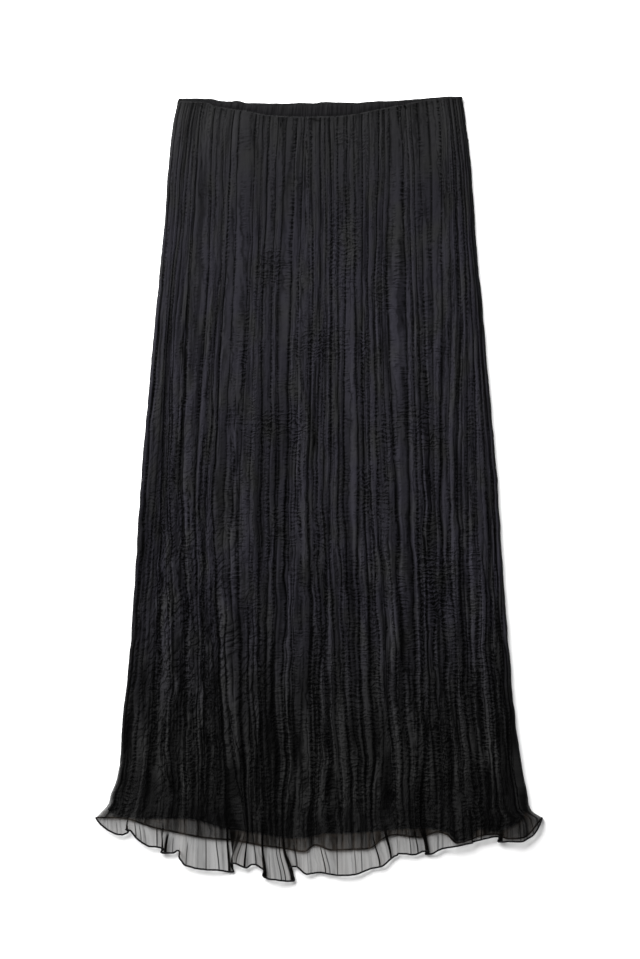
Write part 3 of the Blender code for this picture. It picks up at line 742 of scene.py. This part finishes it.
def new_material(name, *looks):
    """Make a material with its looks, and give it with its shader."""
    material = bpy.data.materials.new(name)
    material.use_nodes = True
    shader = material.node_tree.nodes["Principled BSDF"]
    for socket, value in zip(LOOKS, looks):
        shader.inputs[socket].default_value = value
    return material, shader


# What the meshes of crinkled cloth hold for the shader, each from 0 to about 1: a crease's
# dark line and shaded band, painted shade where the cloth also lies denser, the pleat's
# brightness, its own with painted light and shade, how strong ripples and leaning crumples
# are, how far the cloth is spread out, the side seam, and dark gathered lines and pinches,
# painted shade and shadow where the cloth also lies denser.
CLOTH_VALUES = ("line", "band", "tone_and_shade", "ripple", "bark", "spread", "seam", "gather")
RIPPLE_SPACING = 5.4
LEANING_SPACING = 11.5
DARKEST = 0.03


def crinkle_material(name, open_alpha):
    """Sheer crinkled cloth: denser in its creases, with painted shade there and fine ripples."""
    material, shader = new_material(name, 0.65, 0.01, 0.45, (0.8, 0.8, 0.88, 1.0), 0.015)
    cloth = read_value(shader, "cloth", "Vector")
    values = [read_value(shader, key) for key in CLOTH_VALUES]
    line, band, tone_and_shade, ripple, bark, spread, seam, gather = values
    x = add_node(cloth.tree, "ShaderNodeSeparateXYZ", {0: cloth}, 0)
    y = add_node(cloth.tree, "ShaderNodeSeparateXYZ", {0: cloth}, 1)
    lower = rise(y, 60, 560)
    bare = rise(spread, 0.8, 1)
    # Ripples, uneven and a little bent, broken up between the creases.
    bend = stretched_noise(cloth, 15, 13, 3, 0.6)
    wave = swing(bend.scale(4.2, y * (1 / RIPPLE_SPACING)))
    patch = rise(stretched_noise(cloth, 5, 34).scale(2.2, ripple), 1.45, 1.85)
    each = rise(stretched_noise(cloth, 4, 4.5), 0.38, 0.6)
    strength = patch * ripple.scale(0.6, 0.4) * each.scale(0.8, 0.2)
    # The troughs between ripples, which darken the colour below as painted shade.
    trough = strength * wave.scale(-0.5, 0.5)
    # In places the creases themselves are broken up into small dents of painted shade.
    dented = rise(ripple.scale(0.42, stretched_noise(cloth, 5, 30, 2)), 0.66, 0.74)
    pulse = dented * rise(wave, -0.5, 0.5)
    dent = (dented - pulse) * band
    # Thin lengthwise wrinkles, each the border of a lighter and a darker strip: the wrinkle's
    # dark line is painted shade, and the strips are painted light and shade.
    aside = add_node(cloth.tree, "ShaderNodeCombineXYZ", {0: bend * 7.0})
    wobbled = add_node(cloth.tree, "ShaderNodeVectorMath", {0: cloth, 1: aside})
    strips = stretched_noise(wobbled, 8, 300)
    wrinkle = rise((strips - 0.5).work_out("ABSOLUTE"), 0, 0.08).scale(-1, 1)
    wrinkle = wrinkle * rise(stretched_noise(cloth, 6, 70), 0.38, 0.5)
    wrinkle = wrinkle * bare.scale(-0.7, rise(y, 620, 760).scale(0.45, 0.8))
    # Crumples that lean to the right on their way up, with short strokes of painted shade.
    turned = add_node(cloth.tree, "ShaderNodeCombineXYZ", {0: x + y, 1: x - y})
    leaning = stretched_noise(turned, 13, 30)
    steps = stretched_noise(cloth, 11, 30).scale(2.6, (x + y) * (1 / LEANING_SPACING))
    stroke = rise(swing(steps), 0.2, 0.9)
    stroke = stroke * rise(stretched_noise(cloth, 9, 36), 0.42, 0.54) * bark
    # Relief in mm.
    height = wave * (strength * 0.45)
    height = leaning.scale(bark * 3.0, height)
    height = stroke.scale(-0.9, height)
    height = stretched_noise(cloth, 2.6, 30, 2).scale(0.6, height)
    height = stretched_noise(cloth, 7, 12, 2).scale(0.9, height)
    add_relief(shader, dent.scale(-0.7, height * lower.scale(0.45, 0.55)))
    # Colour: a little violet in patches and a little warm in the bare strip at the hem, with
    # painted shade in creases, gathered lines and pinches, thin wrinkles, crumple strokes, dents
    # and the troughs between ripples, and painted light and shade in the strips by the wrinkles.
    patches = rise(stretched_noise(cloth, 24, 50), 0.2, 0.62)
    middle = rise(y, -40, 180) - rise(y, 600, 820)
    hue = mix_colors(patches * middle, CRINKLE_COLOR, VIOLET_COLOR)
    hue = mix_colors(bare, hue, HEM_COLOR)
    # The strips beside the wrinkles: painted light and shade.
    strip = (rise(strips, 0.45, 0.55) - 0.5) * lower.scale(0.12, 0.14)
    light = tone_and_shade * (strip + 0.95)
    # Painted shade: each mark below darkens the light that scales the base colour.
    for part, share in ((line * pulse.scale(-0.6, 1.0), 0.97), (gather, 0.95), (band, 0.3),
                        (wrinkle, 0.7), (trough, 0.7), (stroke, 0.7), (dent, 0.65)):
        light = light * part.scale(-share, 1.0)
    light = light.work_out("MAXIMUM", DARKEST)
    shade = add_node(hue.tree, "ShaderNodeVectorMath", {0: hue, 3: light}, operation="SCALE")
    shade.feed(shader, "Base Color")
    # Sheerness: the cloth lies spread out at the hem, and double in creases and at the seam.
    closed = band.scale(0.06, line * stretched_noise(cloth, 9, 13))
    closed = wrinkle.scale(0.35, closed).work_out("MAXIMUM", gather)
    closed = closed.work_out("MAXIMUM", seam).work_out("MINIMUM", 1.0)
    opened = rise(spread, 0, 0.75).scale(open_alpha - DENSE_ALPHA, DENSE_ALPHA)
    closed.scale(opened.scale(-1.0, 1.0), opened).feed(shader, "Alpha")
    return material


def lining_material():
    """Opaque smooth lining with soft lengthwise wrinkles."""
    material, shader = new_material("lining_cloth", 0.6, 0.01, 0.5, (0.8, 0.8, 0.85, 1.0), 0.02)
    cloth = read_value(shader, "cloth", "Vector")
    grain = stretched_noise(cloth, 0.35, 0.4)
    add_relief(shader, stretched_noise(cloth, 2.6, 30, 2).scale(0.8, grain * 0.08))
    tones = stretched_noise(cloth, 20, 40, 2)
    color = mix_colors(tones, (0.003, 0.0029, 0.0032, 1.0), (0.0045, 0.0043, 0.0048, 1.0))
    color.feed(shader, "Base Color")
    return material


def thread_material():
    """Near-black thread of the rolled hems."""
    material, shader = new_material("hem_thread", 0.6, 0.01, 0.5, (0.7, 0.7, 0.75, 1.0), 0.03)
    place = add_node(material.node_tree, "ShaderNodeNewGeometry", {}, "Position")
    inputs = {"Vector": place, "Scale": 1400.0, "Detail": 1.0}
    fibre = add_node(place.tree, "ShaderNodeTexNoise", inputs, "Fac")
    add_relief(shader, fibre, 0.6, 0.2 * MM)
    color = mix_colors(fibre, (0.002, 0.002, 0.002, 1.0), (0.005, 0.005, 0.0055, 1.0))
    color.feed(shader, "Base Color")
    return material


# Pieces.

def front_ground(hem_x, across, down):
    """Give the height that the front panel's valleys lie at."""
    lining = hem_value(INNER_HEMS, FRONT_LINING_HEM, hem_x)
    lining = np.maximum(lining, hem_value(INNER_HEMS, BACK_LINING_HEM, hem_x)) + FALL_MARGIN
    back = hem_value(INNER_HEMS, BACK_HEM, hem_x) + FALL_MARGIN
    over_lining = FRONT_OUTER_Z * (1 - ease(down, lining, lining + FALL_LENGTH))
    over_back = BACK_LINING_Z * (1 - ease(down, back, back + FALL_LENGTH))
    inward = ease(side_distance(across, down), 0.0, SIDE_ROUNDING)
    at_side = SIDE_SEAM_Z + (FRONT_OUTER_Z - SIDE_SEAM_Z) * inward
    return np.minimum(np.maximum(over_lining, over_back), at_side)


def front_height(hem_across, down, from_waist, slant, sunk):
    """Give how high the front's cloth stands over its valleys, in mm."""
    cloth_x, cloth_y = hem_coordinates(hem_across, down)
    strong = ease(down, 0.1, 0.6)
    soft = 0.16 * noise(cloth_x / 7, cloth_y / 110, SEED + 6)
    soft += 0.1 * noise(cloth_x / 3.6, cloth_y / 70, SEED + 7)
    soft *= 0.35 + 0.65 * strong
    crumple = 0.22 * noise(cloth_x / 8 + cloth_y / 60, cloth_y / 26, SEED + 8)
    crumple += 0.16 * noise(cloth_x / 4 - cloth_y / 50, cloth_y / 17, SEED + 9)
    crumple *= 1 + 1.2 * ease(down, 0.33, 0.45) * (1 - ease(hem_across, 0.28, 0.42))
    gathers = 0.25 * noise(cloth_x / 4.2, cloth_y / 40, SEED + 10) * np.exp(-from_waist / 0.014)
    height = PLEAT_HEIGHT + (0.05 + 0.2 * strong) * slant + soft + crumple + gathers
    height -= (0.65 + 1.4 * strong) * sunk
    height += (HEIGHT_AT_WAIST - height) * np.exp(-(from_waist / 0.0035) ** 2)
    low = LOW_HEIGHT * np.exp((height - LOW_HEIGHT) / 0.9)
    return np.minimum(np.where(height > LOW_HEIGHT, height, low), HIGHEST)


def fold_hem(points, hem_x, to_hem):
    """Double the cloth back on itself at the folds of the front hem."""
    for x, half, back, reach, side in HEM_FOLDS:
        t = (hem_x / MM - x) / half
        fade = ease(to_hem, reach * MM, 0.0)
        bent = np.where(np.abs(t) < 1, np.sin(np.pi * t), 0.0)
        points[..., 0] -= back * MM * bent * fade
        stack = ease(side * t, -1.0, 1.0) * (1 - ease(side * t, 1.0, 4.5))
        points[..., 2] += FOLD_HEIGHT * MM * stack * fade


def front_tone_and_shade(hem_across, across, down, place, slant):
    """Give how bright the front's cloth is: each pleat its own and in zones, with painted light
    and shade by the pleats' slant, and painted shade on some pleats, in crumples and at
    the side seams.
    """
    cloth_x, cloth_y = hem_coordinates(hem_across, down)
    strong = ease(down, 0.1, 0.6)
    tones = noise(cloth_x / 5, cloth_y / 160, SEED + 14)
    # Painted light and shade: each pleat lighter where its slant raises it, darker where it sinks.
    tone_and_shade = 1 + (0.08 + 0.08 * strong) * slant + (0.07 + 0.06 * strong) * tones
    tone_and_shade = np.minimum(tone_and_shade, 1.16)
    tone_and_shade *= 1 + zones(LIGHTER, across, down) - zones(DARKER, across, down)
    shaded = ease(noise(place * 1.7, down / 0.22, SEED + 16), 0.15, 0.45)
    tone_and_shade *= 1 - 0.52 * shaded * (0.15 + 0.85 * ease(down, 0.2, 0.6))
    # Painted shade in the crumples low down.
    crumple_shade = ease(noise(cloth_x / 7, down / 0.06, SEED + 17), 0.25, 0.6)
    tone_and_shade *= 1 - (0.45 + 0.25 * ease(down, 0.72, 0.82)) * crumple_shade * ease(down, 0.45, 0.7)
    tone_and_shade *= read_curve(BRIGHTNESS, 1, down / MM)
    # Painted shade along the side seams, on the flank that turns toward the lamp.
    tone_and_shade *= 1 - 0.6 * (1 - ease(side_distance(across, down), 0.001, 0.0035))
    return np.clip(tone_and_shade, 0.15, 1.6)


def build_front(material):
    """The front outer panel."""
    columns, rows = FRONT_GRID
    hem_across = spread_columns(columns, HEM_FOLDS, GATHERS)
    hem_x = x_at(hem_across, HEM_CORNER)
    start = panel_start(hem_across, FRONT_WAIST, 0.0022)
    end = hem_value(FRONT_HEM, 1, hem_x)
    down = spread_rows(start, end, rows)
    across, place = place_columns(hem_across, down)
    cloth_x, cloth_y = hem_coordinates(hem_across, down)
    to_hem = end - down
    from_side = side_distance(across, down)
    near_hem = ease(to_hem, 0.06, 0.0)
    gather, move = gathered(hem_x, to_hem)
    sunk, line, band = crease_relief(front_creases, across, down)
    slant = panel_slant(place, down, SEED + 5)
    lining_hem = hem_value(INNER_HEMS, BACK_LINING_HEM, hem_x)
    bare = ease(down, lining_hem - 0.001, lining_hem + 0.003)

    height = front_height(hem_across, down, down - start, slant, sunk) * (1 - 0.3 * near_hem)
    height = np.maximum(0.4, height) * ease(from_side, -0.001, SIDE_ROUNDING)
    lettuce = noise(cloth_x / 9, 0, SEED + 12) * ease(to_hem, 0.022, 0.0)
    lift = 0.55 * hem_value(FRONT_HEM, HEM_LIFT, hem_x) * near_hem
    z = front_ground(hem_x, across, down) + height * MM + lift
    points = to_points(across, down, z + np.maximum(lettuce, -0.4) * MM)
    points[..., 0] += side_wobble(across, down) + move
    fold_hem(points, hem_x, to_hem)

    band *= (1 - 0.7 * bare) * (0.5 + 0.5 * ease(down, 0.1, 0.6))
    attributes = {
        "cloth": np.stack([cloth_x, cloth_y, 0 * down], axis=-1),
        "line": line * (1 - 0.65 * bare),
        "band": np.clip(band, 0, 1.2),
        "tone_and_shade": front_tone_and_shade(hem_across, across, down, place, slant),
        "ripple": ripple_strength(hem_across, across, down) * (1 - 0.6 * bare),
        "bark": zones(LEANING, across, down),
        "spread": 0.75 * (1 - ease(to_hem, 0.062, 0.105)) + 0.25 * bare,
        "seam": seam_strength(from_side, to_hem),
        "gather": np.maximum(gather, pinch_shadows(points[..., 0], down)),
    }
    piece = add_sheet("outer_front_cloth", points, material, attributes)
    return piece, points[-1]


def build_back(material):
    """The back outer panel, which everything lies on."""
    columns, rows = BACK_GRID
    hem_across = spread_columns(columns)
    start = panel_start(hem_across, BACK_WAIST, 0.0018)
    end = hem_value(INNER_HEMS, BACK_HEM, x_at(hem_across, HEM_CORNER))
    down = spread_rows(start, end, rows)
    across, place = place_columns(hem_across, down)
    sunk, line, band = crease_relief(back_creases, across, down)
    cloth_x, cloth_y = hem_coordinates(hem_across, down)
    slant = panel_slant(place, down, SEED + 25)
    soft = 0.22 * noise(cloth_x / 5, cloth_y / 90, SEED + 26)
    height = np.clip(1.35 + 0.2 * slant + soft - 1.15 * sunk, 0.15, 1.9)
    points = to_points(across, down, height * MM)
    points[..., 0] += side_wobble(across, down)
    attributes = {
        "cloth": np.stack([cloth_x + 31.0, cloth_y, 0 * down], axis=-1),
        "line": line,
        "band": np.clip(band, 0, 1.2),
        # Painted light and shade by each pleat's slant.
        "tone_and_shade": 1 + 0.15 * slant,
        "ripple": ripple_strength(hem_across, 1 - across, down),
        "bark": zones(LEANING, 1 - across, down),
        "spread": 0.75 * (1 - ease(end - down, 0.04, 0.08)),
        "seam": seam_strength(side_distance(across, down), end - down),
        "gather": 0 * down,
    }
    piece = add_sheet("outer_back_cloth", points, material, attributes)
    return piece, points[-1]


def build_lining(name, height, waist, edge_width, hem_column, seed):
    """A lining panel, a little wrinkled and gathered in the waist opening."""
    columns, rows = LINING_GRID
    share = np.linspace(0.0, 1.0, columns)

    def across_at(down):
        """Give how far across the columns are, inside the side seams."""
        inset = LINING_INSET / width_at(down)
        return inset + share * (1 - 2 * inset)

    start = waist_down(waist, across_at(0.0)) + edge_width - 0.0012
    end = hem_value(INNER_HEMS, hem_column, x_at(across_at(HEM_CORNER), HEM_CORNER))
    down = spread_rows(start, end, rows)
    across = across_at(down)
    cloth_x, cloth_y = hem_coordinates(across, down)
    wrinkle = 0.2 * noise(cloth_x / 6, cloth_y / 80, seed)
    wrinkle += 0.12 * noise(cloth_x / 3, cloth_y / 30, seed + 1)
    if hem_column == BACK_LINING_HEM:
        from_back = down - waist_down(BACK_WAIST, across) - BACK_EDGE_WIDTH
        from_front = waist_down(FRONT_WAIST, across) - down
        open_here = ease(from_back, -0.001, 0.002) * ease(from_front, -0.001, 0.003)
        gathers = 0.55 + 0.45 * noise(cloth_x / 4.4, cloth_y / 60, seed + 2)
        gathers += 0.2 * noise(cloth_x / 1.9, cloth_y / 40, seed + 3)
        wrinkle += 1.3 * gathers * open_here
    points = to_points(across, down, height + (0.5 + wrinkle) * MM)
    cloth = np.stack([cloth_x, cloth_y, 0 * down], axis=-1)
    return add_sheet(name, points, lining_cloth, {"cloth": cloth})


def build_waist_edge(name, waist, width, height, base, dark_from, seed):
    """A turned waist edge, puckered by the elastic inside it, with painted shade on its far side.
    """
    section = np.linspace(0, TURN, EDGE_SIDES, endpoint=False)[None, :]
    across = np.linspace(0.0, 1.0, EDGE_STATIONS)[:, None]
    cloth_x = (across - 0.5) * 2 * HALF_HEM_WIDTH / MM
    pucker = noise(cloth_x / 5, 0, seed) * 0.6 + noise(cloth_x / 2.2, 0, seed + 1) * 0.4
    wobble = 0.35 * noise(cloth_x / 14, 0, seed + 2) * MM
    along = 0.5 + 0.5 * np.cos(section) * (1 + 0.14 * pucker)
    up = 0.5 + 0.5 * np.sin(section) * (1 + 0.1 * pucker) - 0.05
    down = waist_down(waist, across) + wobble + np.maximum(along, 0) * width
    points = to_points(across + 0 * along, down, base + np.maximum(up, 0.0) * height)
    far_side_shade = ease(-np.cos(section), dark_from, dark_from + 0.5)
    attributes = dict.fromkeys(CLOTH_VALUES, 0 * along)
    attributes["cloth"] = np.stack([cloth_x + 0 * along, down / MM, 0 * along], axis=-1)
    # Painted shade: dark on the far side, and dark ticks in the puckers' hollows.
    attributes["line"] = np.maximum(0.5 * np.clip(-pucker - 0.35, 0, 1), far_side_shade)
    # Painted light and shade: lighter where the puckers swell, darker where they sink.
    attributes["tone_and_shade"] = 0.62 + 0.08 * pucker + 0 * along
    return add_mesh(name, points, grid_faces(points), edge_cloth, attributes)


def build_rolled_hem(name, edge, radius):
    """A rolled hem, a tube wrapped in thread along a panel's lower edge."""
    lengths = np.concatenate([[0], np.cumsum(np.linalg.norm(np.diff(edge, axis=0), axis=1))])
    stations = int(lengths[-1] / THREAD_STEP) + 1
    at = np.linspace(0, lengths[-1], stations)
    path = np.stack([np.interp(at, lengths, edge[:, axis]) for axis in range(3)], axis=1)
    path[:, 2] += 0.3 * radius
    tangent = np.gradient(path, axis=0)
    tangent /= np.linalg.norm(tangent, axis=1)[:, None]
    side = np.cross(tangent, (0, 0, 1))
    side /= np.linalg.norm(side, axis=1)[:, None]
    angle = np.linspace(0, TURN, THREAD_SIDES, endpoint=False)[None, :, None]
    ring = np.cos(angle) * side[:, None] + np.sin(angle) * np.cross(side, tangent)[:, None]
    wraps = radius * (1 + 0.16 * np.cos(TURN * at / (2 * THREAD_STEP)))
    points = path[:, None] + ring * wraps[:, None, None]
    order = list(range(stations * THREAD_SIDES))
    ends = [order[:THREAD_SIDES], order[-THREAD_SIDES:][::-1]]
    return add_mesh(name, points, grid_faces(points) + ends, thread)


front_creases = main_creases() + splitting_creases() + small_creases(210, SEED + 3)
back_creases = main_creases() + small_creases(60, SEED + 4)

crinkle_front = crinkle_material("crinkle_cloth", FRONT_ALPHA)
crinkle_back = crinkle_material("crinkle_cloth_back", BACK_ALPHA)
edge_cloth = crinkle_material("turned_edge", EDGE_ALPHA)
lining_cloth = lining_material()
thread = thread_material()

front, front_edge = build_front(crinkle_front)
back, back_edge = build_back(crinkle_back)
front_lining = build_lining(
    "lining_front_cloth", FRONT_LINING_Z, FRONT_WAIST, FRONT_EDGE_WIDTH, FRONT_LINING_HEM,
    SEED + 40)
back_lining = build_lining(
    "lining_back_cloth", BACK_LINING_Z, BACK_WAIST, BACK_EDGE_WIDTH, BACK_LINING_HEM,
    SEED + 50)
front_waist = build_waist_edge(
    "waist_edge_front_cloth", FRONT_WAIST, FRONT_EDGE_WIDTH, FRONT_EDGE_HEIGHT,
    FRONT_LINING_Z, 0.2, SEED + 60)
back_waist = build_waist_edge(
    "waist_edge_back_cloth", BACK_WAIST, BACK_EDGE_WIDTH, BACK_EDGE_HEIGHT,
    0.0, -0.1, SEED + 70)
front_hem = build_rolled_hem("rolled_hem_front", front_edge, 0.0011)
back_hem = build_rolled_hem("rolled_hem_back", back_edge, 0.00105)


# Stage, light and camera.

def build_stage():
    """A plain white floor."""
    material, shader = new_material("floor", 0.9, 0.0, 0.5, (1.0, 1.0, 1.0, 1.0), 0.0)
    shader.inputs["Base Color"].default_value = FLOOR_COLOR
    corners = np.array([(-1, -1, 0), (1, -1, 0), (1, 1, 0), (-1, 1, 0)]) * FLOOR_HALF_SIZE
    floor = add_mesh("floor", corners + (0, 0, FLOOR_Z), [(0, 1, 2, 3)], material)


def build_light():
    """A large soft lamp beyond the waist, to the left, and even light all round."""
    lamp = bpy.data.lights.new("key", "AREA")
    lamp.shape = "RECTANGLE"
    lamp.size = lamp.size_y = LAMP_SIZE
    lamp.energy = LAMP_POWER
    light = bpy.data.objects.new("key", lamp)
    light.location = LAMP_PLACE
    aim = Vector(LAMP_TARGET) - Vector(LAMP_PLACE)
    light.rotation_euler = aim.to_track_quat("-Z", "Y").to_euler()
    bpy.context.scene.collection.objects.link(light)
    world = bpy.data.worlds.new("studio")
    world.use_nodes = True
    background = world.node_tree.nodes["Background"]
    background.inputs["Color"].default_value = (1.0, 1.0, 1.0, 1.0)
    background.inputs["Strength"].default_value = SKY_STRENGTH
    bpy.context.scene.world = world


def build_camera():
    """Look straight down, as the photograph does."""
    view_height = PHOTO_HEIGHT_PX * METRES_PER_PX
    camera_data = bpy.data.cameras.new("camera")
    camera_data.lens = LENS_MM
    camera_data.sensor_width = SENSOR_MM
    camera_data.clip_end = 20.0
    camera = bpy.data.objects.new("camera", camera_data)
    camera.location = (*VIEW_CENTRE, view_height * LENS_MM / SENSOR_MM + FRONT_OUTER_Z)
    bpy.context.scene.collection.objects.link(camera)
    bpy.context.scene.camera = camera
    bpy.context.scene.view_settings.view_transform = "Standard"


build_stage()
build_light()
build_camera()


# Each piece is attached to the root body, and the CAD parts that it stands for are hidden.

DRESSED = (
    (front, "crinkle_cloth", ("outer_front",)),
    (back, "crinkle_cloth", ("outer_back",)),
    (front_lining, "lining_cloth", ("lining_front",)),
    (back_lining, "lining_cloth", ("lining_back",)),
    (front_waist, "turned_edge", ("waist_edge_front",)),
    (back_waist, "turned_edge", ("waist_edge_back",)),
    (front_hem, "crinkle_cloth", ()),
    (back_hem, "crinkle_cloth", ()),
)
for piece, slot, nodes in DRESSED:
    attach(piece, "root")
    if nodes:
        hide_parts(*nodes)
